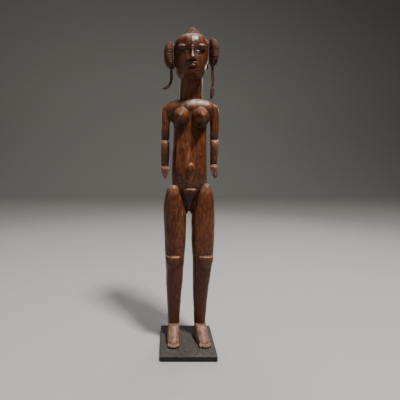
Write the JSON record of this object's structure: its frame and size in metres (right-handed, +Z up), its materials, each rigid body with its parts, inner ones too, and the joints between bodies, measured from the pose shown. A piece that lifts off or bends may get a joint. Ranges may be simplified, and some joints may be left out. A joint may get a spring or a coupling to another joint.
{
  "type": "carved wooden standing figure",
  "caption": "Tall slim standing figure carved in dark wood, arms at its sides, with bound rolls of fibre hair, hanging plaits and a topknot, on a square black block.",
  "frame": {"origin": "centre of the base's underside, on the surface it stands on", "axes": "+Z up; the figure faces -Y, so its own left hand is towards +X"},
  "size_m": [0.115, 0.111, 0.6324],
  "materials": {
    "patinated_wood": "semi-gloss, dark brown, oiled and handled",
    "black_wood": "satin, ebonised",
    "black_felt": "matt",
    "steel": "zinc plated",
    "peg_wood": "bare, matt",
    "brass": "dull",
    "dark_fibre": "matt, twisted vegetable fibre",
    "raffia": "matt, undyed",
    "thread": "matt"
  },
  "bodies": {
    "figure_on_base": {"carved_figure": "patinated_wood", "base_block": "black_wood", "base_felt": "black_felt", "topknot": "dark_fibre", "topknot_peg": "peg_wood", "forehead_tack_1": "brass", "forehead_tack_2": "brass", "forehead_tack_3": "brass", "forehead_tack_4": "brass", "hair_roll_right": "dark_fibre", "roll_binding_right": "dark_fibre", "root_tie_right": "raffia", "hair_peg_right": "peg_wood", "mounting_rod_right": "steel", "mounting_washer_right": "steel", "mounting_nut_right": "steel", "hair_roll_left": "dark_fibre", "roll_binding_left": "dark_fibre", "root_tie_left": "raffia", "hair_peg_left": "peg_wood", "mounting_rod_left": "steel", "mounting_washer_left": "steel", "mounting_nut_left": "steel"},
    "hanging_plait_right": {"plait_right": "dark_fibre", "plait_whipping_right": "thread"},
    "hanging_plait_left": {"plait_left": "dark_fibre", "plait_whipping_left": "thread"}
  },
  "joints": [
    {"name": "plait_swing_right", "type": "hinge", "parent": "figure_on_base", "child": "hanging_plait_right", "pos_m": [-0.034, -0.002, 0.555], "axis": [1, 0, 0], "range_deg": [-30, 30]},
    {"name": "plait_swing_left", "type": "hinge", "parent": "figure_on_base", "child": "hanging_plait_left", "pos_m": [0.044, -0.002, 0.5597], "axis": [1, 0, 0], "range_deg": [-30, 30]}
  ]
}
